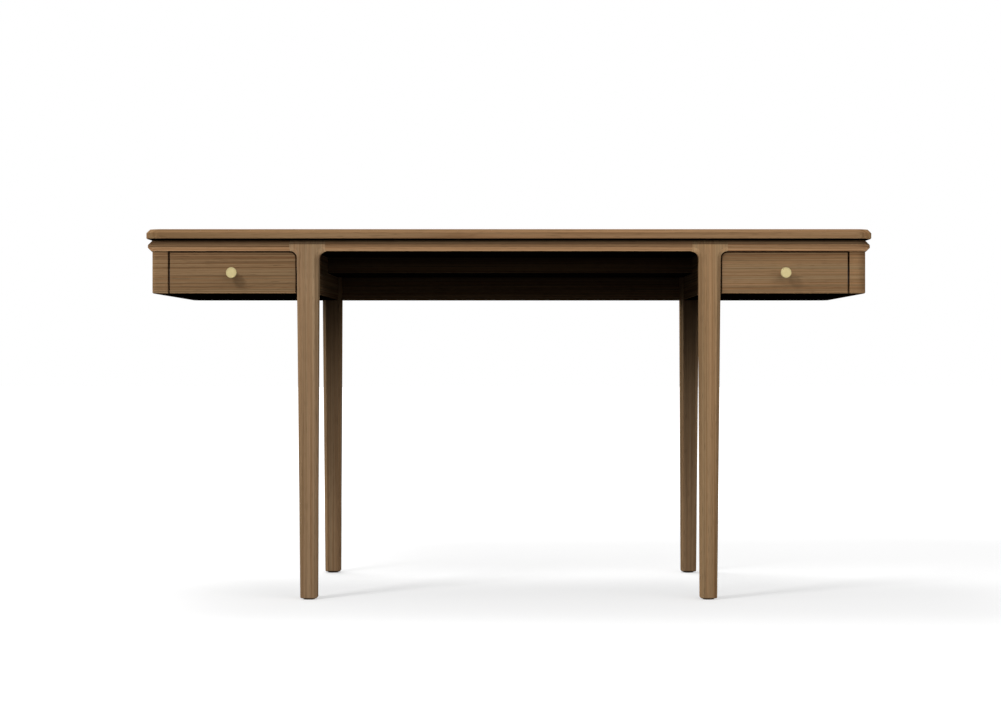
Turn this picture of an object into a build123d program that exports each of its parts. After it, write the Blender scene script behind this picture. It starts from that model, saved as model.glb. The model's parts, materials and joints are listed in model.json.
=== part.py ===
from build123d import *
import os

# Cantilever desk: a thin slab floats over a bevelled rail, four tapered legs
# flow into the rail, and a drawer case hangs outboard of each pair of legs.
# Millimetres, +X to the right of someone who faces the drawers, -Y to the
# front, +Z up. The origin is the floor point under the middle of the whole.

os.makedirs("parts", exist_ok=True)

# Overall sizes
desk_height = 762
top_width = 1498
top_depth = 610

# Clearances
fit_gap = 0.15
curve_gap = 0.4
overrun = 1.0

# Top slab
top_thickness = 19.2
top_corner_radius = 36
top_chamfer = 7
top_ease = 1.8

# Dark spacer that makes the shadow gap under the slab
neck_height = 3.2
neck_setback = 16.5

# Rail with a six-sided nose, bevelled more above than below
rail_setback = 3
rail_height = 22.4
upper_bevel = 9
bevel = 7.5

# Legs
leg_inset = 313
leg_width = 44.7
leg_outer_taper = 6.8
leg_inner_taper = 2.9
leg_fillet = 14
foot_bevel = 5.8
foot_ease = 1.5
glide_height = 3
glide_radius = 12.2
glide_edge = 0.8
glide_pin_radius = 3
glide_pin_length = 18

# Drawer cases
case_setback = 12.5
case_end_setback = 12.6
case_height = 86.8
cheek_width = 35
case_corner_radius = 22
case_wall = 18
case_floor = 9
case_ease = 2
post_depth = 40
cheek_arris = 1
inner_panel_inset = 8

# Rear apron and the shallow compartment over the knees
apron_thickness = 20
compartment_height = 34
compartment_wall = 12
compartment_floor = 9

# Loose tenons between leg heads and rails, and at the mitres
tenon_thickness = 8
tenon_width = 24
tenon_length = 40
tenon_end_room = 1

# Screws up through the core panel into the slab
top_screw_radius = 2.5
top_screw_head_radius = 4.8
top_screw_bite = 11
top_screw_edge = 25
top_screw_leg_room = 160
top_screw_end_room = 81

# Drawer fronts
front_thickness = 18
front_gap = 2.8
cheek_gap = 4
front_arris = 0.8
front_ease = 2

# Drawer boxes
box_back_room = 99
box_board = 12
box_height = 56
box_lift = 14
tail_count = 3
tail_base_share = 0.55
tail_slope_share = 0.16
panel_thickness = 6
panel_lift = 8
groove_depth = 6

# Ball-bearing runners, one each side of a drawer
runner_depth = 12.7
runner_height = 35
middle_height = 26
inner_height = 16.4
runner_sheet = 1.2
middle_web_setback = 3.6
middle_lip_setback = 2
outer_lip_setback = 3.4
cage_width = 4.5
cage_length = 90
cage_gap = 0.15
runner_lift = 37.5
packer_height = 42

# Runner screws
runner_screw_radius = 1.75
runner_screw_head_radius = 3.2
runner_screw_head_height = 1.6
runner_screw_length = 11
runner_screw_margin = 40

# Knobs
knob_radius = 11
knob_projection = 22
knob_neck_radius = 5.5
knob_foot_radius = 8
knob_foot_height = 2.5
knob_head_height = 8.5
knob_rim = 1.2
knob_dish_radius = 8.6
knob_dish_depth = 0.5
knob_screw_radius = 2
knob_screw_head_radius = 4.5
knob_screw_head_height = 2.2
knob_screw_bite = 8

# Screws that hold a drawer front to its box
front_screw_radius = 2
front_screw_head_radius = 4
front_screw_head_height = 2
front_screw_bite = 11
front_screw_offset = 70

# Heights
top_underside = desk_height - top_thickness
rail_top = top_underside - neck_height
rail_bottom = rail_top - rail_height
head_start = rail_bottom - leg_fillet
case_bottom = rail_bottom - case_height
wood_bottom = glide_height

# Depths, the front of the box being the knobs and its back the slab
knob_proud = knob_projection - case_setback
top_front = knob_proud - (top_depth + knob_proud) / 2
mid_y = top_front + top_depth / 2
leg_front = top_front + rail_setback
leg_heel = leg_front + leg_width
core_back = 2 * mid_y - leg_heel
case_front = top_front + case_setback
case_back = 2 * mid_y - case_front
front_back_face = case_front + front_thickness
box_back = case_back - case_wall - box_back_room
apron_front = case_back - apron_thickness
mid_plane = Plane.XZ.offset(-mid_y)

# Widths, on the right-hand side
top_edge = top_width / 2
nose_edge = top_edge - rail_setback
core_edge = nose_edge - leg_width
leg_outer = top_edge - leg_inset
leg_inner = leg_outer - leg_width
head_outer = leg_outer + leg_fillet
head_inner = leg_inner - leg_fillet
case_edge = top_edge - case_end_setback
cheek_edge = case_edge - cheek_width
wall_edge = case_edge - case_wall
inner_face = leg_inner + inner_panel_inset
inner_back_face = inner_face + case_wall


def box_between(x0, x1, y0, y1, z0, z1, mode=Mode.ADD):
    """A block between two corners, in the part that is being built."""
    with Locations(((x0 + x1) / 2, (y0 + y1) / 2, (z0 + z1) / 2)):
        Box(x1 - x0, y1 - y0, z1 - z0, mode=mode)


def save(part, name):
    part.label = name
    export_step(part, f"parts/{name}.step")


def save_pair(part, stem):
    """Write the right-hand piece and its mirror image."""
    save(part, f"{stem}_right")
    save(mirror(part, about=Plane.YZ), f"{stem}_left")


def save_group(solids, name):
    """Write several separate solids as one node."""
    save(Compound(children=list(solids)), name)


def four_corners(part):
    """The front right-hand part and its three mirror images."""
    back = mirror(part, about=mid_plane)
    return [part, mirror(part, about=Plane.YZ), back, mirror(back, about=Plane.YZ)]


def slot_across(x, y, z, length, gap, mode):
    """A flat tenon that runs along X, or the mortise for it."""
    with Locations((x, y, z)):
        Box(length, tenon_width + 2 * gap, tenon_thickness + 2 * gap, mode=mode)


tenon_y = leg_front + bevel + (leg_width - bevel) / 2
tenon_z = rail_bottom + rail_height / 2
mortise_length = tenon_length + 2 * tenon_end_room
mitre_x = nose_edge - (tenon_y - leg_front)
mitre_plane = Plane(
    origin=(mitre_x, tenon_y, tenon_z), x_dir=(1, -1, 0), z_dir=(1, 1, 0)
)


def mitre_slot(length, gap, mode):
    """A spline square across a mitre, or the mortise for it."""
    with Locations(mitre_plane):
        Box(tenon_width + 2 * gap, tenon_thickness + 2 * gap, length, mode=mode)


# Slab: bevelled above, eased below, with rounded corners
with BuildPart() as top_panel:
    with BuildSketch(Plane.XY.offset(top_underside)):
        with Locations((0, mid_y)):
            RectangleRounded(top_width, top_depth, top_corner_radius)
    extrude(amount=top_thickness)
    chamfer(top_panel.edges().group_by(Axis.Z)[-1], top_chamfer)
    chamfer(top_panel.edges().group_by(Axis.Z)[0], top_ease)

# Places of the screws that hold the slab down
top_screw_y = mid_y - leg_heel - top_screw_edge
top_screw_places = [
    (end * x, mid_y + side * top_screw_y)
    for x in (leg_inner - top_screw_leg_room, core_edge - top_screw_end_room)
    for end in (-1, 1)
    for side in (-1, 1)
]

with top_panel:
    with Locations(Plane.XY.offset(top_underside)):
        with Locations(*top_screw_places):
            Cylinder(
                top_screw_radius + fit_gap,
                top_screw_bite + overrun,
                align=(Align.CENTER, Align.CENTER, Align.MIN),
                mode=Mode.SUBTRACT,
            )
save(top_panel.part, "top_panel")

# Spacer: a thin board set back under the slab
with BuildPart() as shadow_gap_spacer:
    with BuildSketch(Plane.XY.offset(rail_top)):
        with Locations((0, mid_y)):
            RectangleRounded(
                top_width - 2 * neck_setback,
                top_depth - 2 * neck_setback,
                top_corner_radius - neck_setback,
            )
        with Locations(*top_screw_places):
            Circle(top_screw_radius + fit_gap, mode=Mode.SUBTRACT)
    extrude(amount=neck_height)
save(shadow_gap_spacer.part, "shadow_gap_spacer")

# Core panel: fills the rail frame, flush above and below
with BuildPart() as core_panel:
    box_between(-core_edge, core_edge, leg_heel, core_back, rail_bottom, rail_top)
    with Locations(core_panel.faces().sort_by(Axis.Z)[0]):
        with Locations(*[(x, mid_y - y) for x, y in top_screw_places]):
            CounterSinkHole(
                top_screw_radius + fit_gap,
                top_screw_head_radius + fit_gap,
                counter_sink_angle=90,
            )
save(core_panel.part, "core_panel")


def top_screw(x, y):
    """A countersunk wood screw that points up."""
    cone = top_screw_head_radius - top_screw_radius
    length = rail_height + neck_height + top_screw_bite
    with BuildPart() as screw:
        with BuildSketch(Plane.XZ.offset(-y)):
            with BuildLine():
                Polyline(
                    (x, rail_bottom),
                    (x + top_screw_head_radius, rail_bottom),
                    (x + top_screw_radius, rail_bottom + cone),
                    (x + top_screw_radius, rail_bottom + length - top_screw_radius),
                    (x, rail_bottom + length),
                    close=True,
                )
            make_face()
        revolve(axis=Axis((x, y, 0), (0, 0, 1)))
    return screw.part


save_group([top_screw(x, y) for x, y in top_screw_places], "top_screws")


def rail_section(outline, mortise_xs=(), mitred=False):
    """One length of the rail, cut from the full ring by its plan outline."""
    with BuildPart() as rail:
        with BuildSketch(Plane.XY.offset(rail_bottom)):
            with Locations((0, mid_y)):
                RectangleRounded(
                    top_width - 2 * rail_setback,
                    top_depth - 2 * rail_setback,
                    top_corner_radius - rail_setback,
                )
        extrude(amount=rail_height)
        chamfer(rail.edges().group_by(Axis.Z)[0], bevel)
        chamfer(rail.edges().group_by(Axis.Z)[-1], upper_bevel)
        with BuildSketch(Plane.XY.offset(rail_bottom)):
            with BuildLine():
                Polyline(*outline, close=True)
            make_face()
        extrude(amount=rail_height, mode=Mode.INTERSECT)
        for x in mortise_xs:
            slot_across(x, tenon_y, tenon_z, mortise_length, fit_gap, Mode.SUBTRACT)
        if mitred:
            mitre_slot(mortise_length, fit_gap, Mode.SUBTRACT)
    return rail.part


front_rail_side = rail_section(
    [
        (head_outer, leg_front),
        (nose_edge, leg_front),
        (core_edge, leg_heel),
        (head_outer, leg_heel),
    ],
    mortise_xs=(head_outer,),
    mitred=True,
)
front_rail_centre = rail_section(
    [
        (-head_inner, leg_front),
        (head_inner, leg_front),
        (head_inner, leg_heel),
        (-head_inner, leg_heel),
    ],
    mortise_xs=(-head_inner, head_inner),
)

# End rail: mitred at both of its rounded corners
with BuildPart() as end_rail:
    add(
        rail_section(
            [
                (nose_edge, leg_front),
                (nose_edge, mid_y),
                (core_edge, mid_y),
                (core_edge, leg_heel),
            ],
            mitred=True,
        )
    )
    mirror(about=mid_plane)

save_pair(front_rail_side, "front_rail")
save(front_rail_centre, "front_rail_centre")
save_pair(mirror(front_rail_side, about=mid_plane), "rear_rail")
save(mirror(front_rail_centre, about=mid_plane), "rear_rail_centre")
save_pair(end_rail.part, "end_rail")

with BuildPart() as rail_tenon_outer:
    slot_across(head_outer, tenon_y, tenon_z, tenon_length, 0, Mode.ADD)
with BuildPart() as rail_tenon_inner:
    slot_across(head_inner, tenon_y, tenon_z, tenon_length, 0, Mode.ADD)
with BuildPart() as mitre_spline:
    mitre_slot(tenon_length, 0, Mode.ADD)

save_group(
    four_corners(rail_tenon_outer.part) + four_corners(rail_tenon_inner.part),
    "rail_tenons",
)
save_group(four_corners(mitre_spline.part), "mitre_splines")

# Leg: a tapered shaft with bevelled corners, under a head that flares into
# the rail on both sides and carries the rail's nose across itself
with BuildPart() as leg:
    with BuildSketch(Plane.XY.offset(wood_bottom)) as foot:
        with Locations(
            (
                (leg_inner + leg_outer + leg_inner_taper - leg_outer_taper) / 2,
                (leg_front + leg_heel + leg_outer_taper - leg_inner_taper) / 2,
            )
        ):
            Rectangle(
                leg_width - leg_outer_taper - leg_inner_taper,
                leg_width - leg_outer_taper - leg_inner_taper,
            )
        chamfer(foot.vertices(), foot_bevel)
    with BuildSketch(Plane.XY.offset(head_start)) as shoulder:
        with Locations(((leg_inner + leg_outer) / 2, (leg_front + leg_heel) / 2)):
            Rectangle(leg_width, leg_width)
        chamfer(shoulder.vertices(), bevel)
    loft(ruled=True)
    chamfer(leg.edges().group_by(Axis.Z)[0], foot_ease)

with BuildPart() as leg_head:
    with BuildSketch(Plane.XZ.offset(-leg_heel)):
        with BuildLine():
            Line((leg_inner, head_start), (leg_outer, head_start))
            CenterArc((head_outer, head_start), leg_fillet, 180, -90)
            Polyline(
                (head_outer, rail_bottom),
                (head_outer, rail_top),
                (head_inner, rail_top),
                (head_inner, rail_bottom),
            )
            CenterArc((head_inner, head_start), leg_fillet, 90, -90)
        make_face()
    extrude(amount=leg_width)
    coves = leg_head.edges().filter_by(GeomType.CIRCLE)
    chamfer(coves, bevel)
    crest = leg_head.edges().filter_by(Axis.X).group_by(Axis.Z)[-1].sort_by(Axis.Y)[0]
    chamfer(crest, upper_bevel)

glide_x = (leg_inner + leg_outer + leg_inner_taper - leg_outer_taper) / 2
glide_y = (leg_front + leg_heel + leg_outer_taper - leg_inner_taper) / 2

with leg:
    add(leg_head.part)
    slot_across(head_outer, tenon_y, tenon_z, mortise_length, fit_gap, Mode.SUBTRACT)
    slot_across(head_inner, tenon_y, tenon_z, mortise_length, fit_gap, Mode.SUBTRACT)
    with Locations((glide_x, glide_y, wood_bottom)):
        Cylinder(
            glide_pin_radius + fit_gap,
            glide_pin_length + overrun,
            align=(Align.CENTER, Align.CENTER, Align.MIN),
            mode=Mode.SUBTRACT,
        )

front_right, front_left, rear_right, rear_left = four_corners(leg.part)
save(front_left, "front_leg_left")
save(front_right, "front_leg_right")
save(rear_left, "rear_leg_left")
save(rear_right, "rear_leg_right")

# Floor glide: a low disc with a pin that is driven into the foot
with BuildPart() as glide:
    with Locations((glide_x, glide_y, 0)):
        Cylinder(
            glide_radius,
            glide_height,
            align=(Align.CENTER, Align.CENTER, Align.MIN),
        )
    chamfer(glide.edges().group_by(Axis.Z)[0], glide_edge)
    with Locations((glide_x, glide_y, glide_height)):
        Cylinder(
            glide_pin_radius,
            glide_pin_length,
            align=(Align.CENTER, Align.CENTER, Align.MIN),
        )
save_group(four_corners(glide.part), "floor_glides")

# Case end: the outer wall, thickened to a post at its front and back, with
# rounded outer corners
with BuildPart() as case_end:
    with BuildSketch(Plane.XY.offset(case_bottom)) as case_plan:
        with Locations(((cheek_edge + case_edge) / 2, mid_y)):
            Rectangle(cheek_width, case_back - case_front)
        fillet(case_plan.vertices().group_by(Axis.X)[-1], case_corner_radius)
    extrude(amount=case_height)
    chamfer(case_end.edges().group_by(Axis.Z)[0].sort_by(Axis.X)[1:], case_ease)
    chamfer(
        case_end.edges().filter_by(Axis.Z).group_by(Axis.X)[0].sort_by(Axis.Y)[0],
        cheek_arris,
    )
    box_between(
        cheek_edge - overrun,
        wall_edge,
        case_front + post_depth,
        case_back - post_depth,
        case_bottom - overrun,
        rail_bottom + overrun,
        mode=Mode.SUBTRACT,
    )
save_pair(case_end.part, "case_end")

# Case back: between the end's rear post and the rear leg, its upper corner
# rounded to pass the flare of the leg's head
with BuildPart() as case_back_panel:
    with BuildSketch(Plane.XZ.offset(-case_back)) as back_outline:
        with Locations(((leg_outer + curve_gap + cheek_edge) / 2, (case_bottom + rail_bottom) / 2)):
            Rectangle(cheek_edge - leg_outer - curve_gap, case_height)
        fillet(
            back_outline.vertices().group_by(Axis.X)[0].sort_by(Axis.Y)[-1],
            leg_fillet + curve_gap,
        )
    extrude(amount=case_wall)
save_pair(case_back_panel.part, "case_back")

# Inner side of the case, from leg to leg beside the knees
with BuildPart() as case_inner_side:
    box_between(inner_face, inner_back_face, leg_heel, core_back, case_bottom, rail_bottom)
save_pair(case_inner_side.part, "case_inner_side")

# Case floor, notched round both legs and the rear post
with BuildPart() as case_floor_panel:
    box_between(
        leg_outer + curve_gap,
        cheek_edge,
        front_back_face + front_gap,
        case_back - case_wall,
        case_bottom,
        case_bottom + case_floor,
    )
    box_between(
        inner_back_face,
        wall_edge,
        case_front + post_depth,
        case_back - post_depth,
        case_bottom,
        case_bottom + case_floor,
    )
save_pair(case_floor_panel.part, "case_floor")

# Rear apron, its upper corners rounded to pass the flares of the leg heads
with BuildPart() as rear_apron:
    with BuildSketch(Plane.XZ.offset(-case_back)) as apron_outline:
        with Locations((0, (case_bottom + rail_bottom) / 2)):
            Rectangle(2 * (leg_inner - curve_gap), case_height)
        fillet(apron_outline.vertices().group_by(Axis.Y)[-1], leg_fillet + curve_gap)
    extrude(amount=apron_thickness)
save(rear_apron.part, "rear_apron")

# Shallow compartment behind the knees: a front board and a floor
with BuildPart() as compartment_front:
    box_between(
        -inner_face,
        inner_face,
        mid_y,
        mid_y + compartment_wall,
        rail_bottom - compartment_height,
        rail_bottom,
    )
save(compartment_front.part, "compartment_front")

with BuildPart() as compartment_floor_panel:
    box_between(
        -inner_face,
        inner_face,
        mid_y + compartment_wall,
        core_back,
        rail_bottom - compartment_height,
        rail_bottom - compartment_height + compartment_floor,
    )
    box_between(
        -(leg_inner - curve_gap),
        leg_inner - curve_gap,
        core_back,
        apron_front,
        rail_bottom - compartment_height,
        rail_bottom - compartment_height + compartment_floor,
    )
save(compartment_floor_panel.part, "compartment_floor")

# Runners. A runner is drawn in plan from its cabinet face, at_x, towards the
# drawer: facing is 1 where the drawer lies to the right and -1 to the left.
runner_z = case_bottom + runner_lift
runner_front = front_back_face
runner_back = box_back
runner_length = runner_back - runner_front
inner_runner_x = leg_outer
outer_runner_x = cheek_edge
runners = ((inner_runner_x, 1), (outer_runner_x, -1))
screw_ys = (runner_front + runner_screw_margin, runner_back - runner_screw_margin)


def channel(at_x, facing, web_start, lip_end, height):
    """A sheet-metal channel: a web with a lip above and below, along Y."""
    web_end = web_start + runner_sheet if lip_end > web_start else web_start - runner_sheet
    half = height / 2
    inside = half - runner_sheet
    outline = [
        (web_start, half),
        (lip_end, half),
        (lip_end, inside),
        (web_end, inside),
        (web_end, -inside),
        (lip_end, -inside),
        (lip_end, -half),
        (web_start, -half),
    ]
    with BuildPart() as profile:
        with BuildSketch(Plane.XZ.offset(-runner_back)):
            with BuildLine():
                Polyline(*[(at_x + facing * s, runner_z + z) for s, z in outline], close=True)
            make_face()
        extrude(amount=runner_length)
    return profile.part


def cabinet_member(at_x, facing):
    member = channel(at_x, facing, 0, runner_depth - outer_lip_setback, runner_height)
    with BuildPart() as drilled_web:
        add(member)
        for y in screw_ys:
            with Locations(Location((at_x, y, runner_z), (0, 90, 0))):
                Cylinder(runner_screw_radius + fit_gap, 4 * runner_sheet, mode=Mode.SUBTRACT)
    return drilled_web.part


def middle_member(at_x, facing):
    return channel(
        at_x, facing, middle_web_setback, runner_depth - middle_lip_setback, middle_height
    )


def drawer_member(at_x, facing):
    start = runner_depth
    member = channel(at_x, facing, start, middle_web_setback + 2 * runner_sheet, inner_height)
    web_x = at_x + facing * (start - runner_sheet / 2)
    with BuildPart() as drilled_web:
        add(member)
        for y in screw_ys:
            with Locations(Location((web_x, y, runner_z), (0, 90, 0))):
                Cylinder(runner_screw_radius + fit_gap, 2 * runner_sheet, mode=Mode.SUBTRACT)
    return drilled_web.part


def ball_cage(at_x, facing, low, high, start, length):
    """A strip of balls in their cage, between two lips of the runner."""
    middle_s = middle_web_setback + runner_sheet + cage_gap + cage_width / 2
    x = at_x + facing * middle_s
    with BuildPart() as cage:
        with Locations((x, start + length / 2, runner_z + (low + high) / 2)):
            Box(cage_width, length, high - low - 2 * cage_gap)
    return cage.part


def ball_cages(at_x, facing):
    outer_low = middle_height / 2
    outer_high = runner_height / 2 - runner_sheet
    inner_low = inner_height / 2
    inner_high = middle_height / 2 - runner_sheet
    start = (runner_front + runner_back - cage_length) / 2
    cages = []
    for low, high in ((outer_low, outer_high), (inner_low, inner_high)):
        cages.append(ball_cage(at_x, facing, low, high, start, cage_length))
        cages.append(ball_cage(at_x, facing, -high, -low, start, cage_length))
    return cages


def cross_screw(x, y, z, facing, radius, head_radius, head_height, length):
    """A pan-head screw along X whose head stands on the plane at x."""
    with BuildPart() as screw:
        with Locations(Location((x, y, z), (0, 90 * facing, 0))):
            Cylinder(head_radius, head_height, align=(Align.CENTER, Align.CENTER, Align.MIN))
        with Locations(Location((x, y, z), (0, -90 * facing, 0))):
            Cylinder(radius, length, align=(Align.CENTER, Align.CENTER, Align.MIN))
    return screw.part


def mirrored(parts):
    return [mirror(part, about=Plane.YZ) for part in parts]


cabinet_members = [cabinet_member(x, facing) for x, facing in runners]
middle_members = [middle_member(x, facing) for x, facing in runners]
drawer_members = [drawer_member(x, facing) for x, facing in runners]
cages = [cage for x, facing in runners for cage in ball_cages(x, facing)]

save_group(cabinet_members + mirrored(cabinet_members), "runner_cabinet_members")
save_group(middle_members, "runner_middle_members_right")
save_group(mirrored(middle_members), "runner_middle_members_left")
save_group(drawer_members, "runner_drawer_members_right")
save_group(mirrored(drawer_members), "runner_drawer_members_left")
save_group(cages, "runner_ball_cages_right")
save_group(mirrored(cages), "runner_ball_cages_left")

cabinet_screws = [
    cross_screw(
        x + facing * runner_sheet,
        y,
        runner_z,
        facing,
        runner_screw_radius,
        runner_screw_head_radius,
        runner_screw_head_height,
        runner_screw_length,
    )
    for x, facing in runners
    for y in screw_ys
]
save_group(cabinet_screws + mirrored(cabinet_screws), "runner_screws")


def packer(x0, x1, y0, y1, bored_x):
    """A strip that brings the runner's seat flush with the drawer opening."""
    with BuildPart() as strip:
        box_between(
            x0,
            x1,
            y0,
            y1,
            runner_z - packer_height / 2,
            runner_z + packer_height / 2,
        )
        for y in screw_ys:
            with Locations(Location((bored_x, y, runner_z), (0, 90, 0))):
                Cylinder(
                    runner_screw_radius + fit_gap,
                    2 * runner_screw_length,
                    mode=Mode.SUBTRACT,
                )
    return strip.part


packers = [
    packer(inner_back_face, leg_outer, leg_heel, core_back, leg_outer),
    packer(cheek_edge, wall_edge, case_front + post_depth, case_back - post_depth, cheek_edge),
]
save_group(packers + mirrored(packers), "runner_packers")

# Drawer box, dovetailed at its four corners
box_left = inner_runner_x + runner_depth
box_right = outer_runner_x - runner_depth
box_front = front_back_face
box_bottom = case_bottom + box_lift
box_top = box_bottom + box_height
tail_pitch = box_height / tail_count
tail_base = tail_pitch * tail_base_share / 2
tail_tip = tail_base + box_board * tail_slope_share
tail_centres = [box_bottom + tail_pitch * (i + 1 / 2) for i in range(tail_count)]
panel_bottom = box_bottom + panel_lift


def panel_groove(gap):
    """The bottom panel's room in the four boards."""
    box_between(
        box_left + box_board - groove_depth - gap,
        box_right - box_board + groove_depth + gap,
        box_front + box_board - groove_depth - gap,
        box_back - box_board + groove_depth + gap,
        panel_bottom - gap,
        panel_bottom + panel_thickness + gap,
        mode=Mode.SUBTRACT,
    )


def side_board(x0, bored_x):
    """A side whose two ends are cut as tails."""
    front_line = [(box_front + box_board, box_bottom)]
    back_line = [(box_back - box_board, box_bottom)]
    for z in tail_centres:
        for line, base, tip in (
            (front_line, box_front + box_board, box_front),
            (back_line, box_back - box_board, box_back),
        ):
            line.append((base, z - tail_base))
            line.append((tip, z - tail_tip))
            line.append((tip, z + tail_tip))
            line.append((base, z + tail_base))
    front_line.append((box_front + box_board, box_top))
    back_line.append((box_back - box_board, box_top))
    with BuildPart() as board:
        with BuildSketch(Plane.YZ.offset(x0)):
            with BuildLine():
                Polyline(*front_line, *reversed(back_line), close=True)
            make_face()
        extrude(amount=box_board)
        panel_groove(fit_gap)
        for y in screw_ys:
            with Locations(Location((bored_x, y, runner_z), (0, 90, 0))):
                Cylinder(
                    runner_screw_radius + fit_gap,
                    2 * (runner_screw_length - runner_sheet),
                    mode=Mode.SUBTRACT,
                )
    return board.part


def end_board(tip_y, base_y):
    """A front or back board, with the sockets between its pins cut out."""
    with BuildPart() as board:
        box_between(
            box_left,
            box_right,
            min(tip_y, base_y),
            max(tip_y, base_y),
            box_bottom,
            box_top,
        )
        for x in (box_left, box_right - box_board):
            for z in tail_centres:
                with BuildSketch(Plane.YZ.offset(x)) as socket:
                    with BuildLine():
                        Polyline(
                            (base_y, z - tail_base),
                            (tip_y, z - tail_tip),
                            (tip_y, z + tail_tip),
                            (base_y, z + tail_base),
                            close=True,
                        )
                    make_face()
                extrude(socket.sketch, amount=box_board, mode=Mode.SUBTRACT)
        panel_groove(fit_gap)
    return board.part


front_left_x = leg_outer + front_gap
front_right_x = cheek_edge - cheek_gap
front_top = rail_bottom - front_gap
knob_x = (front_left_x + front_right_x) / 2
knob_z = (case_bottom + front_top) / 2
front_screw_places = ((knob_x - front_screw_offset, knob_z), (knob_x + front_screw_offset, knob_z))


def bore_along_y(x, z, radius, y0, y1):
    with Locations(Location((x, (y0 + y1) / 2, z), (90, 0, 0))):
        Cylinder(radius, y1 - y0, mode=Mode.SUBTRACT)


with BuildPart() as box_front_board:
    add(end_board(box_front, box_front + box_board))
    bore_along_y(
        knob_x,
        knob_z,
        knob_screw_radius + fit_gap,
        box_front - overrun,
        box_front + box_board + overrun,
    )
    for x, z in front_screw_places:
        bore_along_y(
            x,
            z,
            front_screw_radius + fit_gap,
            box_front - overrun,
            box_front + box_board + overrun,
        )

save_pair(box_front_board.part, "drawer_box_front")
save_pair(end_board(box_back, box_back - box_board), "drawer_box_back")
save_pair(side_board(box_left, box_left), "drawer_box_inner_side")
save_pair(side_board(box_right - box_board, box_right), "drawer_box_outer_side")

with BuildPart() as drawer_bottom:
    box_between(
        box_left + box_board - groove_depth,
        box_right - box_board + groove_depth,
        box_front + box_board - groove_depth,
        box_back - box_board + groove_depth,
        panel_bottom,
        panel_bottom + panel_thickness,
    )
save_pair(drawer_bottom.part, "drawer_bottom")

# Screws that hold the runners' drawer members to the box
member_screws = [
    cross_screw(
        x,
        y,
        runner_z,
        facing,
        runner_screw_radius,
        runner_screw_head_radius,
        runner_screw_head_height,
        runner_screw_length - runner_sheet,
    )
    for x, facing in (
        (box_left - runner_sheet, -1),
        (box_right + runner_sheet, 1),
    )
    for y in screw_ys
]
save_group(member_screws, "drawer_runner_screws_right")
save_group(mirrored(member_screws), "drawer_runner_screws_left")

# Drawer front: its upper inner corner follows the flare of the leg's head
with BuildPart() as drawer_front:
    with BuildSketch(Plane.XZ.offset(-front_back_face)) as front_outline:
        with Locations((knob_x, knob_z)):
            Rectangle(front_right_x - front_left_x, front_top - case_bottom)
        fillet(
            front_outline.vertices().group_by(Axis.X)[0].sort_by(Axis.Y)[-1],
            leg_fillet - front_gap,
        )
    extrude(amount=front_thickness)
    face_edges = drawer_front.faces().sort_by(Axis.Y)[0].edges()
    chamfer(face_edges.sort_by(Axis.Z)[0], front_ease)
    face_edges = drawer_front.faces().sort_by(Axis.Y)[0].edges()
    chamfer(face_edges.sort_by(Axis.Z)[1:], front_arris)
    bore_along_y(
        knob_x,
        knob_z,
        knob_screw_radius + fit_gap,
        case_front - overrun,
        front_back_face + overrun,
    )
    for x, z in front_screw_places:
        bore_along_y(
            x,
            z,
            front_screw_radius + fit_gap,
            front_back_face - front_screw_bite - overrun,
            front_back_face + overrun,
        )
save_pair(drawer_front.part, "drawer_front")

# Knob: a turned brass disc on a waisted neck
knob_axis = Axis((knob_x, 0, knob_z), (0, 1, 0))
knob_face = case_front - knob_projection
with BuildPart() as knob:
    with BuildSketch(Plane.XY.offset(knob_z)):
        with BuildLine():
            Polyline(
                (knob_x, case_front),
                (knob_x + knob_foot_radius, case_front),
                (knob_x + knob_foot_radius, case_front - knob_foot_height),
                (knob_x + knob_neck_radius, case_front - 2 * knob_foot_height),
                (knob_x + knob_neck_radius, knob_face + knob_head_height + knob_foot_height),
                (knob_x + knob_radius - knob_rim, knob_face + knob_head_height),
                (knob_x + knob_radius, knob_face + knob_head_height - knob_rim),
                (knob_x + knob_radius, knob_face + knob_rim),
                (knob_x + knob_radius - knob_rim, knob_face),
                (knob_x + knob_dish_radius, knob_face),
                (knob_x + knob_dish_radius - knob_dish_depth, knob_face + knob_dish_depth),
                (knob_x, knob_face + knob_dish_depth),
                close=True,
            )
        make_face()
    revolve(axis=knob_axis)
    bore_along_y(
        knob_x,
        knob_z,
        knob_screw_radius + fit_gap,
        case_front - knob_screw_bite - overrun,
        case_front + overrun,
    )
save_pair(knob.part, "knob")


def screw_along_y(x, z, head_y, radius, head_radius, head_height, length):
    """A pan-head screw that points to the front from the plane at head_y."""
    with BuildPart() as screw:
        with Locations(Location((x, head_y, z), (-90, 0, 0))):
            Cylinder(head_radius, head_height, align=(Align.CENTER, Align.CENTER, Align.MIN))
        with Locations(Location((x, head_y, z), (90, 0, 0))):
            Cylinder(radius, length, align=(Align.CENTER, Align.CENTER, Align.MIN))
    return screw.part


knob_screw = screw_along_y(
    knob_x,
    knob_z,
    box_front + box_board,
    knob_screw_radius,
    knob_screw_head_radius,
    knob_screw_head_height,
    box_board + front_thickness + knob_screw_bite,
)
save_pair(knob_screw, "knob_screw")

front_screws = [
    screw_along_y(
        x,
        z,
        box_front + box_board,
        front_screw_radius,
        front_screw_head_radius,
        front_screw_head_height,
        box_board + front_screw_bite,
    )
    for x, z in front_screw_places
]
save_group(front_screws, "drawer_front_screws_right")
save_group(mirrored(front_screws), "drawer_front_screws_left")
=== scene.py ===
import json
import math
import random

import bpy
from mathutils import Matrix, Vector


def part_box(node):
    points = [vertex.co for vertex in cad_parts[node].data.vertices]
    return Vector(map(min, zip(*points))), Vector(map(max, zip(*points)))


# Looks of the cantilever desk: materials, floor, lights and camera around the
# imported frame. Metres, in the frame's own axes: +X right, -Y front, +Z up.

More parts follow.
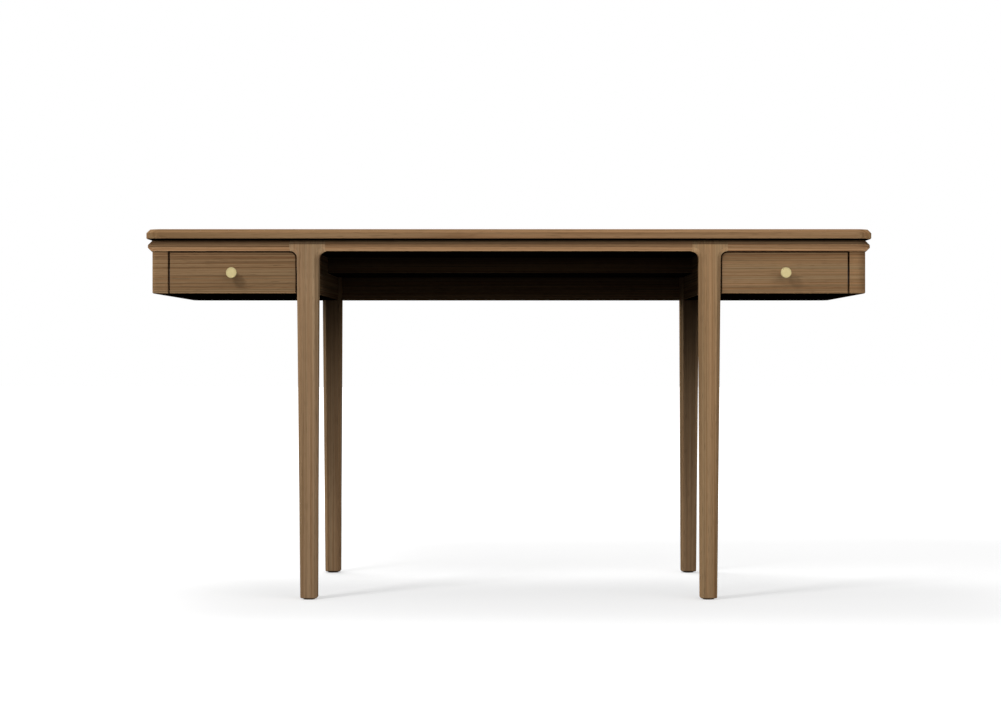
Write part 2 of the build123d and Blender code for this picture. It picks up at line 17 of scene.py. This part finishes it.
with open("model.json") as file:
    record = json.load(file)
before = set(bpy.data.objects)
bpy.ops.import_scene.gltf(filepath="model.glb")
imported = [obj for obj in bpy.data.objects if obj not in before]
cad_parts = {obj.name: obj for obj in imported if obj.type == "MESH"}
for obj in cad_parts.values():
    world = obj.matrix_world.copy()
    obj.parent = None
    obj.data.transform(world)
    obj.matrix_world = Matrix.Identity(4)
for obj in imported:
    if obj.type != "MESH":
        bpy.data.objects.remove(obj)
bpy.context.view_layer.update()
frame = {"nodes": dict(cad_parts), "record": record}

MM = 0.001


# Reading the frame


slab_low, slab_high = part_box("top_panel")
knob_low, knob_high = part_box("knob_right")
slab_middle = (slab_low + slab_high) / 2


# Small helpers for node trees


class Tree:
    """Adds nodes to a node tree. A socket given as a value is linked."""

    def __init__(self, tree):
        self.tree = tree

    def put(self, socket, value):
        if isinstance(value, bpy.types.NodeSocket):
            self.tree.links.new(value, socket)
        else:
            socket.default_value = value

    def node(self, kind, values=(), **settings):
        made = self.tree.nodes.new(kind)
        for key, value in settings.items():
            setattr(made, key, value)
        for key, value in dict(values).items():
            self.put(made.inputs[key], value)
        return made

    def math(self, operation, a, b=0.0, clamp=False):
        made = self.node("ShaderNodeMath", {0: a, 1: b}, operation=operation, use_clamp=clamp)
        return made.outputs[0]

    def xyz(self, x, y, z):
        return self.node("ShaderNodeCombineXYZ", {0: x, 1: y, 2: z}).outputs[0]

    def noise(self, vector, detail=0.0, roughness=0.5, scale=1.0):
        made = self.node(
            "ShaderNodeTexNoise",
            {"Vector": vector, "Scale": scale, "Detail": detail, "Roughness": roughness},
        )
        return made.outputs[0]

    def spread(self, value, low, high, to_low=0.0, to_high=1.0, smooth=True):
        made = self.node(
            "ShaderNodeMapRange",
            {0: value, 1: low, 2: high, 3: to_low, 4: to_high},
            interpolation_type="SMOOTHSTEP" if smooth else "LINEAR",
        )
        return made.outputs[0]

    def mix(self, share, a, b, blend="MIX"):
        made = self.node("ShaderNodeMix", data_type="RGBA", blend_type=blend)
        self.put(made.inputs[0], share)
        self.put(made.inputs[6], a)
        self.put(made.inputs[7], b)
        return made.outputs[2]

    def grey(self, value):
        made = self.node("ShaderNodeCombineColor", {0: value, 1: value, 2: value})
        return made.outputs[0]

    def bump(self, height, strength, distance):
        made = self.node(
            "ShaderNodeBump", {"Height": height, "Strength": strength, "Distance": distance}
        )
        return made.outputs[0]


def linear(red, green, blue, gain=1.0):
    """A screen colour from 0 to 255 as the scene-linear colour that shows it."""

    def one(value):
        share = value / 255
        return share / 12.92 if share <= 0.04045 else ((share + 0.055) / 1.055) ** 2.4

    return (one(red) * gain, one(green) * gain, one(blue) * gain, 1.0)


def tinted(colour, tint):
    return (*[value * share for value, share in zip(colour, tint)], 1.0)


def new_material(name):
    material = bpy.data.materials.new(name)
    material.use_nodes = True
    material.node_tree.nodes.clear()
    tree = Tree(material.node_tree)
    shader = tree.node("ShaderNodeBsdfPrincipled")
    output = tree.node("ShaderNodeOutputMaterial")
    tree.put(output.inputs["Surface"], shader.outputs[0])
    return material, tree, shader


def seen_share(tree):
    """1 where a camera, glossy or transmission ray arrives, else 0."""
    path = tree.node("ShaderNodeLightPath")
    seen = tree.math("ADD", path.outputs["Is Camera Ray"], path.outputs["Is Glossy Ray"])
    return tree.math("ADD", seen, path.outputs["Is Transmission Ray"], clamp=True)


def object_place(tree):
    """The place on a piece, in metres, which rides with the piece."""
    return tree.node("ShaderNodeTexCoord").outputs["Object"]


def object_axes(tree):
    """The same place as three numbers."""
    split = tree.node("ShaderNodeSeparateXYZ", {0: object_place(tree)})
    return split.outputs[0], split.outputs[1], split.outputs[2]


# Wood


# Each field of noise: rates per metre along, across and into the grain, detail, roughness
FIELDS = {
    "slow": (1.0, 4, 3, 1, 0.5),
    "quick": (6, 24, 18, 1, 0.5),
    "fine": (1.4, 430, 60, 1, 0.6),
    "broad": (1.1, 70, 34, 2, 0.5),
    "hue": (1.2, 330, 60, 2, 0.5),
    "fibre": (9, 760, 520, 2, 0.6),
    "band": (0.7, 17, 11, 1, 0.5),
    "fleck": (38, 1150, 900, 0, 0.5),
}
SLOW_WAVER = 12 * MM
QUICK_WAVER = 1.4 * MM
BESIDE = 3.7
FINE_SHARE = 0.78
BROAD_SHARE = 0.32
STREAK_OFFSET = 0.05
PORE_SPREAD = (0.36, 0.26)
PORE_DEPTH = 0.9


def make_figure_group():
    """Grain figure from three distances: along the grain, across it and into it.

    The lines of the grain waver slowly and quickly. Broad streaks and hues are read
    beside the fine ones, so that they don't fall together.
    """
    group = bpy.data.node_groups.new("wood_figure", "ShaderNodeTree")
    for name in ("Along", "Across", "Into"):
        group.interface.new_socket(name, in_out="INPUT", socket_type="NodeSocketFloat")
    for name in ("Streak", "Hue", "Fibre", "Band", "Pore", "Height"):
        group.interface.new_socket(name, in_out="OUTPUT", socket_type="NodeSocketFloat")
    tree = Tree(group)
    given = tree.node("NodeGroupInput")
    along, across, into = given.outputs[0], given.outputs[1], given.outputs[2]

    def field(kind, line):
        along_per_m, across_per_m, into_per_m, detail, roughness = FIELDS[kind]
        vector = tree.xyz(
            tree.math("MULTIPLY", along, along_per_m),
            tree.math("MULTIPLY", line, across_per_m),
            tree.math("MULTIPLY", into, into_per_m),
        )
        return tree.noise(vector, detail, roughness)

    def waver(kind, reach):
        return tree.math("MULTIPLY", tree.math("SUBTRACT", field(kind, across), 0.5), reach)

    wave = tree.math("ADD", waver("slow", SLOW_WAVER), waver("quick", QUICK_WAVER))
    line = tree.math("ADD", across, wave)
    beside = tree.math("ADD", line, BESIDE)

    fine = tree.math("MULTIPLY", field("fine", line), FINE_SHARE)
    broad = tree.math("MULTIPLY", field("broad", beside), BROAD_SHARE)
    streak = tree.math("SUBTRACT", tree.math("ADD", fine, broad), STREAK_OFFSET)
    hue = field("hue", beside)
    fibre = field("fibre", line)
    band = field("band", line)
    pore = tree.spread(field("fleck", line), *PORE_SPREAD)
    height = tree.math("SUBTRACT", fibre, tree.math("MULTIPLY", pore, PORE_DEPTH))

    returned = tree.node("NodeGroupOutput")
    for index, value in enumerate((streak, hue, fibre, band, pore, height)):
        tree.put(returned.inputs[index], value)
    return group


figure_group = make_figure_group()


# Directions of the grain: each turns a place into distances along, across and into it


def along_x(tree, x, y, z):
    return x, z, y


def along_x_flat(tree, x, y, z):
    return x, y, z


def along_y(tree, x, y, z):
    return y, z, x


def along_z(tree, x, y, z):
    return z, x, y


def round_the_end(tree, x, y, z):
    """Level grain that runs on from the front round the rounded end."""
    reach = tree.math("ADD", tree.math("ABSOLUTE", x), y)
    return reach, z, 0.0


# Cosines between a face and a direction: where a slant sets in, where it ends, and
# from where the face counts as square to the direction
SLANT_STARTS = (0.3, 0.6)
SLANT_ENDS = (0.95, 0.8)
FLAT_STARTS = (0.93, 0.98)
# Heights of the painted shade at the feet, and the top of the painted shade that darkens a board
# towards the floor
FOOT_HEIGHTS = (40 * MM, 30 * MM)
DRIFT_TOP = 700 * MM


def painted_face_light(
    tree,
    bevel=1.0,
    crest=1.0,
    top=1.0,
    under=1.0,
    front=1.0,
    corners=(1.0, 1.0),
    foot=1.0,
    drift=1.0,
    head=(1.0, 0.0, 1.0),
    sides=(1.0, 1.0),
):
    """Painted light and shade by the way a face looks, multiplied into the wood's colour.

    bevel is for bevels that look down, crest for bevels that look up, top and under for
    level faces, front for faces that look to the front, corners for the upright bevels to
    the left and right of them, and foot for bevels at the floor. drift is the tone at the
    floor of a board that changes along its height. head is the tone of a front face up
    under another piece, with the heights between which that shade sets in. sides is the
    tone at the desk's left and right end.

    None of these is the wood's own colour. Each one lightens or darkens faces as the light
    falls on them. They paint light on bevels that look down and on corners and ends that
    face the lamps. They paint shade on crests under the slab, on level tops, on undersides
    down to near black, at the feet, on front faces up under another piece and down a board
    towards the floor.
    """
    facing = tree.node("ShaderNodeTexCoord").outputs["Normal"]
    split = tree.node("ShaderNodeSeparateXYZ", {0: facing})
    rightward = split.outputs[0]
    leftward = tree.math("MULTIPLY", rightward, -1.0)
    forward = tree.math("MULTIPLY", split.outputs[1], -1.0)
    up = split.outputs[2]
    down = tree.math("MULTIPLY", up, -1.0)

    def turned(value):
        return tree.spread(value, *SLANT_STARTS)

    def slanted(value):
        return tree.math("MULTIPLY", turned(value), tree.spread(value, *SLANT_ENDS))

    def flat(value):
        return tree.spread(value, *FLAT_STARTS)

    x, _, z = object_axes(tree)
    low_down = tree.spread(z, *FOOT_HEIGHTS)
    shares = (
        (bevel, slanted(down)),
        (crest, slanted(up)),
        (top, flat(up)),
        (under, flat(down)),
        (front, flat(forward)),
        (corners[0], tree.math("MULTIPLY", slanted(forward), turned(leftward))),
        (corners[1], tree.math("MULTIPLY", slanted(forward), turned(rightward))),
        (foot, tree.math("MULTIPLY", turned(down), low_down)),
        (drift, tree.spread(z, DRIFT_TOP, 0.0, smooth=False)),
        (head[0], tree.math("MULTIPLY", turned(forward), tree.spread(z, head[1], head[2]))),
    )
    # Each step below multiplies painted light or painted shade into the colour
    total = 1.0
    if sides != (1.0, 1.0):
        total = tree.spread(x, slab_low.x, slab_high.x, *sides, smooth=False)
    for gain, share in shares:
        if gain != 1.0:
            step = tree.math("ADD", 1.0, tree.math("MULTIPLY", share, gain - 1))
            total = tree.math("MULTIPLY", total, step)
    return total


# Colours that lines of the grain are multiplied by
WARM_LINE = (1.05, 0.94, 0.88, 1)
OLIVE_LINE = (0.96, 1.06, 1.12, 1)
SEED_SHIFT = (2, 9)
STREAK_REACH = 0.2
HUE_SPREAD = (0.3, 0.7)
FIBRE_TONE = 0.34
FIBRE_FLOOR = 0.83
PORE_TONE = 0.26
# From one noise value to another, and what they turn into
OLIVE_BAND = (0.45, 0.72, 0.0, 0.45)
WOOD_ROUGHNESS = (0.3, 0.7, 0.68, 0.54)
# Strength and depth
WOOD_BUMP = (0.35, 0.12 * MM)


def wood(name, axes, dark, light, olive, seed, tint, faces, streak_depth, hue_depth):
    """An oiled wood, whose grain runs as axes says."""
    material, tree, shader = new_material(name)
    x, y, z = object_axes(tree)
    turned = axes(tree, x, y, z)
    draw = random.Random(seed)
    moved = [tree.math("ADD", value, draw.uniform(*SEED_SHIFT)) for value in turned]
    figure = tree.node("ShaderNodeGroup", node_tree=figure_group)
    for index, value in enumerate(moved):
        tree.put(figure.inputs[index], value)
    streak, hue, fibre, band, pore, height = list(figure.outputs)[:6]

    reach = STREAK_REACH / streak_depth
    share = tree.spread(streak, 0.5 - reach, 0.5 + reach)
    colour = tree.mix(share, tinted(dark, tint), tinted(light, tint))
    colour = tree.mix(tree.spread(band, *OLIVE_BAND), colour, tinted(olive, tint))
    shift = tree.mix(tree.spread(hue, *HUE_SPREAD), WARM_LINE, OLIVE_LINE)
    colour = tree.mix(hue_depth, colour, shift, "MULTIPLY")
    grain = tree.math("ADD", tree.math("MULTIPLY", fibre, FIBRE_TONE), FIBRE_FLOOR)
    grain = tree.math("SUBTRACT", grain, tree.math("MULTIPLY", pore, PORE_TONE))
    # The grain tone is multiplied by the painted light and shade of each face
    if faces:
        grain = tree.math("MULTIPLY", grain, painted_face_light(tree, **faces))
    colour = tree.mix(1.0, colour, tree.grey(grain), "MULTIPLY")

    tree.put(shader.inputs["Base Color"], colour)
    tree.put(shader.inputs["Roughness"], tree.spread(fibre, *WOOD_ROUGHNESS))
    tree.put(shader.inputs["Specular IOR Level"], 0.0)
    tree.put(shader.inputs["Normal"], tree.bump(height, *WOOD_BUMP))
    return material


# Other materials


# A near-black board for the core, the case floors and the shadow-gap spacer, named a stain. Its
# near-black colour is painted shade for the dark under the desk.
def black_board():
    material, tree, shader = new_material("black_stain")
    place = object_place(tree)
    speck = tree.noise(place, detail=3, roughness=0.6, scale=900)
    cloud = tree.noise(place, detail=2, roughness=0.5, scale=14)
    tone = tree.math("MULTIPLY", speck, cloud)
    tree.put(
        shader.inputs["Base Color"],
        tree.mix(tree.spread(tone, 0.15, 0.4), linear(20, 17, 14), linear(34, 29, 24)),
    )
    tree.put(shader.inputs["Roughness"], tree.spread(speck, 0.3, 0.7, 0.95, 0.85))
    tree.put(shader.inputs["Specular IOR Level"], 0.0)
    tree.put(shader.inputs["Normal"], tree.bump(speck, strength=0.3, distance=0.1 * MM))
    return material


def turned_brass():
    """Satin brass with the fine rings that turning leaves round each knob's axis."""
    material, tree, shader = new_material("turned_brass")
    x, y, z = object_axes(tree)
    knob_x = (knob_low.x + knob_high.x) / 2
    knob_z = (knob_low.z + knob_high.z) / 2
    side = tree.math("SUBTRACT", tree.math("ABSOLUTE", x), knob_x)
    rise = tree.math("SUBTRACT", z, knob_z)
    from_axis = tree.math(
        "SQRT",
        tree.math("ADD", tree.math("MULTIPLY", side, side), tree.math("MULTIPLY", rise, rise)),
    )
    rings = tree.noise(tree.xyz(from_axis, y, 0.0), detail=2, roughness=0.6, scale=2600)
    cloud = tree.noise(object_place(tree), detail=2, roughness=0.5, scale=160)
    colour = tree.mix(rings, linear(175, 161, 115), linear(191, 178, 135))
    colour = tree.mix(tree.spread(cloud, 0.4, 0.75, 0.0, 0.3), colour, linear(170, 154, 105))
    tree.put(shader.inputs["Base Color"], colour)
    tree.put(shader.inputs["Metallic"], 1.0)
    tree.put(shader.inputs["Roughness"], tree.spread(rings, 0.3, 0.7, 0.34, 0.46))
    tree.put(shader.inputs["Normal"], tree.bump(rings, strength=0.2, distance=0.03 * MM))
    return material


DRAWN_SHARE = 0.02


def plated_steel(name, colour, dull, grain_per_m):
    """Zinc-plated steel, faintly drawn along the runner."""
    material, tree, shader = new_material(name)
    x, y, z = object_axes(tree)
    stretched = tree.xyz(x, tree.math("MULTIPLY", y, DRAWN_SHARE), z)
    drawn = tree.noise(stretched, detail=2, roughness=0.6, scale=grain_per_m)
    cloud = tree.noise(object_place(tree), detail=3, roughness=0.55, scale=70)
    tree.put(
        shader.inputs["Base Color"],
        tree.mix(tree.spread(cloud, 0.35, 0.7), linear(*colour), linear(*dull)),
    )
    tree.put(shader.inputs["Metallic"], 1.0)
    tree.put(shader.inputs["Roughness"], tree.spread(drawn, 0.3, 0.7, 0.3, 0.48))
    tree.put(shader.inputs["Normal"], tree.bump(drawn, strength=0.15, distance=0.03 * MM))
    return material


def moulded_plastic(name, colour, specular=0.25):
    material, tree, shader = new_material(name)
    speck = tree.noise(object_place(tree), detail=2, roughness=0.5, scale=1800)
    tree.put(
        shader.inputs["Base Color"],
        tree.mix(speck, linear(*colour, gain=0.8), linear(*colour, gain=1.2)),
    )
    tree.put(shader.inputs["Roughness"], tree.spread(speck, 0.3, 0.7, 0.5, 0.62))
    tree.put(shader.inputs["Specular IOR Level"], specular)
    tree.put(shader.inputs["Normal"], tree.bump(speck, strength=0.25, distance=0.05 * MM))
    return material


# Which wood each piece has

BROWN = {
    "dark": linear(112, 82, 56),
    "light": linear(142, 113, 83),
    "olive": linear(124, 104, 74),
}
CASE = {
    "dark": linear(106, 80, 55),
    "light": linear(138, 109, 79),
    "olive": linear(120, 101, 75),
}
LEG = {
    "dark": linear(126, 98, 70),
    "light": linear(152, 124, 94),
    "olive": linear(136, 114, 86),
}
PALE = {
    "dark": linear(176, 148, 108),
    "light": linear(206, 180, 140),
    "olive": linear(194, 170, 130),
}


def even(level):
    """A tint that only lightens or darkens."""
    return (level, level, level)


SLAB_TONE = (0.87, 0.83, 0.80)
# The rails are darker copies of the brown wood than the slab, darkest at the left. This painted
# shade takes back the extra light of the bounce and left lamps linked to them.
RAIL_LEFT = even(0.62)
RAIL_CENTRE = even(0.79)
RAIL_RIGHT = even(1.03)
LEG_LEFT = (0.92, 0.935, 0.95)
LEG_RIGHT = (0.98, 0.96, 0.905)
LEG_REAR_LEFT = even(1.09)
LEG_REAR_RIGHT = even(0.98)
DRAWER_LEFT = even(0.82)
DRAWER_RIGHT = (0.98, 0.99, 0.99)
CHEEK_LEFT = even(0.91)
CHEEK_RIGHT = (1.11, 1.1, 1.07)
# The compartment front and the inner case sides sit in the recess. They are darker copies of the
# case wood, which is painted shade.
COMPARTMENT_PAINTED_SHADE = even(0.55)
INNER_LEFT_PAINTED_SHADE = even(0.85)
INNER_RIGHT_PAINTED_SHADE = even(0.6)
BOX_TONE = even(1.0)

# Painted light and shade of faces, in the form that the face function above takes them
# Slab: the right end and right corner are painted lighter, and the left end, the level top and
# the down bevels are painted darker. The undersides are painted near black as shade.
SLAB_FACES = {
    "sides": (0.955, 1.115),
    "corners": (1.0, 1.42),
    "crest": 0.98,
    "top": 0.84,
    "bevel": 0.8,
    "under": 0.02,
}
# Rails: the lower bevels are painted lighter and the crests under the slab darker. The undersides
# are painted near black, and the centre rail is painted lighter to the right. This is painted
# light and shade.
RAIL_LEFT_FACES = {"bevel": 1.95, "crest": 0.55, "under": 0.02}
RAIL_CENTRE_FACES = {"sides": (0.87, 1.17), "bevel": 1.36, "crest": 0.44, "under": 0.02}
RAIL_RIGHT_FACES = {"corners": (1.0, 1.12), "bevel": 1.11, "crest": 0.37, "under": 0.02}
# Front legs: the lower bevels are painted lighter, and the crests, feet and corners darker. The
# left head is darker under the rail, and the legs grow darker towards the floor. This is painted
# light and shade.
LEG_FACES = {"bevel": 1.1, "crest": 0.34, "foot": 0.5, "drift": 0.8}
LEG_LEFT_FACES = {**LEG_FACES, "corners": (0.95, 1.06), "head": (0.91, 0.66, 0.69)}
LEG_RIGHT_FACES = {**LEG_FACES, "corners": (0.85, 0.94)}
# Rear legs: the fronts and corners are painted lighter, and the upper part under the case is
# painted much darker. They are also darker at the feet and towards the floor. This is painted
# light and shade.
LEG_REAR_FACES = {
    "front": 1.3,
    "corners": (1.3, 1.55),
    "foot": 0.8,
    "drift": 0.6,
    "head": (0.47, 0.34, 0.68),
}
# Case ends, drawer fronts and recess boards: the undersides are painted near black, and the top
# of each front under the rail is painted darker. This is painted shade.
CASE_FACES = {"under": 0.02, "head": (0.78, 0.703, 0.714)}
# Apron: its front in the recess is painted darker and its underside near black. This is painted
# shade.
APRON_FACES = {"front": 0.66, "under": 0.02}

# How lively the figure is
LIVELY = {"streak_depth": 1.5, "hue_depth": 0.85}
CALM = {"streak_depth": 0.9, "hue_depth": 0.4}

# Starts of node names, grain, colours, tint, tones of faces, figure
WOODS = [
    (("top_panel",), along_x_flat, BROWN, SLAB_TONE, SLAB_FACES, CALM),
    (("front_rail_left",), along_x, BROWN, RAIL_LEFT, RAIL_LEFT_FACES, CALM),
    (("end_rail_left",), along_y, BROWN, RAIL_LEFT, RAIL_LEFT_FACES, CALM),
    (("front_rail_centre", "rear_rail"), along_x, BROWN, RAIL_CENTRE, RAIL_CENTRE_FACES, CALM),
    (("front_rail_right",), along_x, BROWN, RAIL_RIGHT, RAIL_RIGHT_FACES, CALM),
    (("end_rail_right",), along_y, BROWN, RAIL_RIGHT, RAIL_RIGHT_FACES, CALM),
    (("front_leg_left",), along_z, LEG, LEG_LEFT, LEG_LEFT_FACES, CALM),
    (("front_leg_right",), along_z, LEG, LEG_RIGHT, LEG_RIGHT_FACES, CALM),
    (("rear_leg_left",), along_z, LEG, LEG_REAR_LEFT, LEG_REAR_FACES, CALM),
    (("rear_leg_right",), along_z, LEG, LEG_REAR_RIGHT, LEG_REAR_FACES, CALM),
    (("case_end_left",), round_the_end, CASE, CHEEK_LEFT, CASE_FACES, LIVELY),
    (("case_end_right",), round_the_end, CASE, CHEEK_RIGHT, CASE_FACES, LIVELY),
    (("drawer_front_left",), round_the_end, CASE, DRAWER_LEFT, CASE_FACES, LIVELY),
    (("drawer_front_right",), round_the_end, CASE, DRAWER_RIGHT, CASE_FACES, LIVELY),
    (("case_back",), along_x, CASE, CHEEK_LEFT, CASE_FACES, LIVELY),
    (("rear_apron",), along_x, CASE, CHEEK_LEFT, APRON_FACES, LIVELY),
    (("compartment_front",), along_x, CASE, COMPARTMENT_PAINTED_SHADE, CASE_FACES, LIVELY),
    (("case_inner_side_left",), along_y, CASE, INNER_LEFT_PAINTED_SHADE, CASE_FACES, LIVELY),
    (("case_inner_side_right",), along_y, CASE, INNER_RIGHT_PAINTED_SHADE, CASE_FACES, LIVELY),
    (("drawer_box_front", "drawer_box_back", "rail_tenons"), along_x, PALE, BOX_TONE, {}, LIVELY),
    (("drawer_box_inner", "drawer_box_outer"), along_y, PALE, BOX_TONE, {}, LIVELY),
    (("mitre_splines", "runner_packers"), along_y, PALE, BOX_TONE, {}, LIVELY),
    (("drawer_bottom",), along_x_flat, PALE, BOX_TONE, {}, LIVELY),
]

PLAIN = {
    "black_stained_board": black_board(),
    "knob_brass": turned_brass(),
    # The runners are set a dark grey, well below the light grey of the zinc-plated screws
    "runner_steel": plated_steel("darkened_runner_steel", (84, 84, 87), (66, 66, 70), 1400),
    "screw_steel": plated_steel("zinc_screw", (198, 198, 196), (170, 168, 162), 900),
    # The top screws under the core are painted near black. This is painted shade where they sit
    # in the dark under the desk.
    "top_screw_painted_shade": moulded_plastic("top_screw_painted_shade", (26, 24, 23), specular=0.0),
    "cage_plastic": moulded_plastic("cage_plastic", (44, 44, 46)),
    "glide_plastic": moulded_plastic("glide_plastic", (44, 37, 31)),
}


def dress(node, piece, slot_name):
    """Give a frame node its finish, in place of the one it was packed with."""
    for stems, axes, colours, tint, faces, figure in WOODS:
        if node.startswith(stems):
            seed = "case_" + node.rsplit("_", 1)[1] if axes is round_the_end else node
            made = wood(
                f"wood_{node}", axes, **colours, seed=seed, tint=tint, faces=faces, **figure
            )
            break
    else:
        # The top screws take the near-black screw colour, which is painted shade
        made = PLAIN["top_screw_painted_shade" if node == "top_screws" else slot_name]
    for index in range(len(piece.material_slots)):
        piece.material_slots[index].material = made


slots = {part["node"]: part["material_slot"] for part in frame["record"]["subparts"]}
for node_name, node_piece in sorted(frame["nodes"].items()):
    dress(node_name, node_piece, slots[node_name])


# Floor and world

FLOOR_HALF = 30.0
LIT_RADIUS = 1.5
FADE_RADIUS = 3.4
FLOOR_GLOW = 0.43
FAR_GLOW = 1.0
FLOOR_SHADE = 0.42
FLOOR_DIM = 0.04
SKY_LEVEL = 0.8
HORIZON = (-0.02, 0.05)
WHITE = (1, 1, 1, 1)


def make_floor():
    """A pale floor that shows white, keeps the desk's shadow and throws little light back.

    Where it is seen it glows a little and takes the shadow. Far away the glow alone
    makes it white.
    """
    corners = [
        (-FLOOR_HALF, -FLOOR_HALF, 0),
        (FLOOR_HALF, -FLOOR_HALF, 0),
        (FLOOR_HALF, FLOOR_HALF, 0),
        (-FLOOR_HALF, FLOOR_HALF, 0),
    ]
    mesh = bpy.data.meshes.new("floor")
    mesh.from_pydata(corners, [], [(0, 1, 2, 3)])
    floor = bpy.data.objects.new("floor", mesh)
    bpy.context.scene.collection.objects.link(floor)

    material = bpy.data.materials.new("floor")
    material.use_nodes = True
    material.node_tree.nodes.clear()
    tree = Tree(material.node_tree)
    place = object_place(tree)
    away = tree.node("ShaderNodeVectorMath", {0: place}, operation="LENGTH").outputs[1]
    glow = tree.spread(away, LIT_RADIUS, FADE_RADIUS, FLOOR_GLOW, FAR_GLOW)
    white = tree.node("ShaderNodeEmission", {"Color": WHITE, "Strength": glow})
    matte = tree.node("ShaderNodeBsdfDiffuse", {"Color": (*[FLOOR_SHADE] * 3, 1)})
    both = tree.node("ShaderNodeAddShader", {0: white.outputs[0], 1: matte.outputs[0]})
    dim = tree.node("ShaderNodeBsdfDiffuse", {"Color": (*[FLOOR_DIM] * 3, 1)})
    blend = tree.node(
        "ShaderNodeMixShader", {0: seen_share(tree), 1: dim.outputs[0], 2: both.outputs[0]}
    )
    output = tree.node("ShaderNodeOutputMaterial")
    tree.put(output.inputs["Surface"], blend.outputs[0])
    mesh.materials.append(material)


def make_world():
    """White where it is seen, and for light an even sky down to the horizon."""
    world = bpy.data.worlds.new("studio")
    bpy.context.scene.world = world
    world.use_nodes = True
    world.node_tree.nodes.clear()
    tree = Tree(world.node_tree)
    direction = tree.node("ShaderNodeTexCoord").outputs["Generated"]
    height = tree.node("ShaderNodeSeparateXYZ", {0: direction}).outputs[2]
    strength = tree.math("MULTIPLY", tree.spread(height, *HORIZON), SKY_LEVEL)
    strength = tree.node(
        "ShaderNodeMix", {0: seen_share(tree), 2: strength, 3: 1.0}, data_type="FLOAT"
    ).outputs[0]
    sky = tree.node("ShaderNodeBackground", {"Color": WHITE, "Strength": strength})
    output = tree.node("ShaderNodeOutputWorld")
    tree.put(output.inputs["Surface"], sky.outputs[0])


make_floor()
make_world()


# Lamps


def polar(azimuth, elevation, distance):
    """A point round the slab's middle. Azimuth 0 is the front and 90 the right."""
    a, e = math.radians(azimuth), math.radians(elevation)
    back = Vector((math.sin(a) * math.cos(e), -math.cos(a) * math.cos(e), math.sin(e)))
    return slab_middle + back * distance


def softbox(name, azimuth, elevation, distance, width, height, level):
    """An area lamp that faces the desk.

    level is the light that it adds on a surface square to it.
    """
    lamp = bpy.data.lights.new(name, "AREA")
    lamp.shape = "RECTANGLE"
    lamp.size = width
    lamp.size_y = height
    lamp.energy = level * math.pi * math.pi * distance * distance
    holder = bpy.data.objects.new(name, lamp)
    bpy.context.scene.collection.objects.link(holder)
    holder.location = polar(azimuth, elevation, distance)
    aim = slab_middle - holder.location
    holder.rotation_mode = "QUATERNION"
    holder.rotation_quaternion = aim.to_track_quat("-Z", "Y")
    return holder


# Name, azimuth, elevation, distance, width, height, level
LAMPS = (
    ("key", -42, 34, 4.2, 0.9, 0.9, 0.55),
    ("right_fill", 35, 25, 4.5, 3.8, 2.6, 0.25),
    ("front_mid", 0, 42, 4.2, 2.4, 1.4, 0.09),
    ("back_left", -150, 61, 3.4, 1.8, 1.6, 0.78),
)

for lamp_values in LAMPS:
    softbox(*lamp_values)

# What the linked lamps reach, and their values in the same order
FRONT_WOOD = ("top_panel", "front_rail", "end_rail", "front_leg", "case_end", "drawer_front_")
LEFT_WOOD = (
    "top_panel",
    "front_rail_left",
    "end_rail_left",
    "case_end_left",
    "front_leg",
    "rear_leg",
)
LINKED_LAMPS = (
    (FRONT_WOOD, "bounce", 0, -80, 8.0, 4.0, 2.4, 1.42),
    (LEFT_WOOD, "left_low", -112, 5, 3.6, 1.8, 1.6, 0.85),
)


def linked_softbox(stems, name, *values):
    """A lamp for the light that a pale room throws back, which reaches only the named wood.

    The floor doesn't block it, so that the bounce lamp can stand below. The other
    pieces do, apart from the knobs, whose shadows would fall the wrong way.
    """
    holder = softbox(name, *values)
    holder.visible_camera = False
    lit = bpy.data.collections.new(name + "_lights")
    blockers = bpy.data.collections.new(name + "_blockers")
    for node, piece in sorted(frame["nodes"].items()):
        if not node.startswith("knob"):
            blockers.objects.link(piece)
        if node.startswith(stems):
            lit.objects.link(piece)
    holder.light_linking.receiver_collection = lit
    holder.light_linking.blocker_collection = blockers


for lamp_values in LINKED_LAMPS:
    linked_softbox(*lamp_values)


# Camera at the photograph's place

IMAGE_WIDTH = 1001
IMAGE_HEIGHT = 711
CAMERA_DISTANCE = 4.441
CAMERA_HEIGHT = 0.50195
CAMERA_SIDE = 0.03792
FOCAL_PIXELS = 2165.15
AXIS_PIXEL = (527.2, 355.75)
SENSOR_WIDTH = 36.0


def make_camera():
    data = bpy.data.cameras.new("camera")
    data.sensor_fit = "HORIZONTAL"
    data.sensor_width = SENSOR_WIDTH
    data.lens = FOCAL_PIXELS / IMAGE_WIDTH * SENSOR_WIDTH
    data.shift_x = (IMAGE_WIDTH / 2 - AXIS_PIXEL[0]) / IMAGE_WIDTH
    data.shift_y = (AXIS_PIXEL[1] - IMAGE_HEIGHT / 2) / IMAGE_WIDTH
    data.dof.use_dof = False
    camera = bpy.data.objects.new("camera", data)
    bpy.context.scene.collection.objects.link(camera)
    camera.location = (CAMERA_SIDE, slab_low.y - CAMERA_DISTANCE, CAMERA_HEIGHT)
    camera.rotation_euler = (math.radians(90), 0, 0)
    bpy.context.scene.camera = camera


make_camera()
bpy.context.scene.view_settings.view_transform = "Standard"
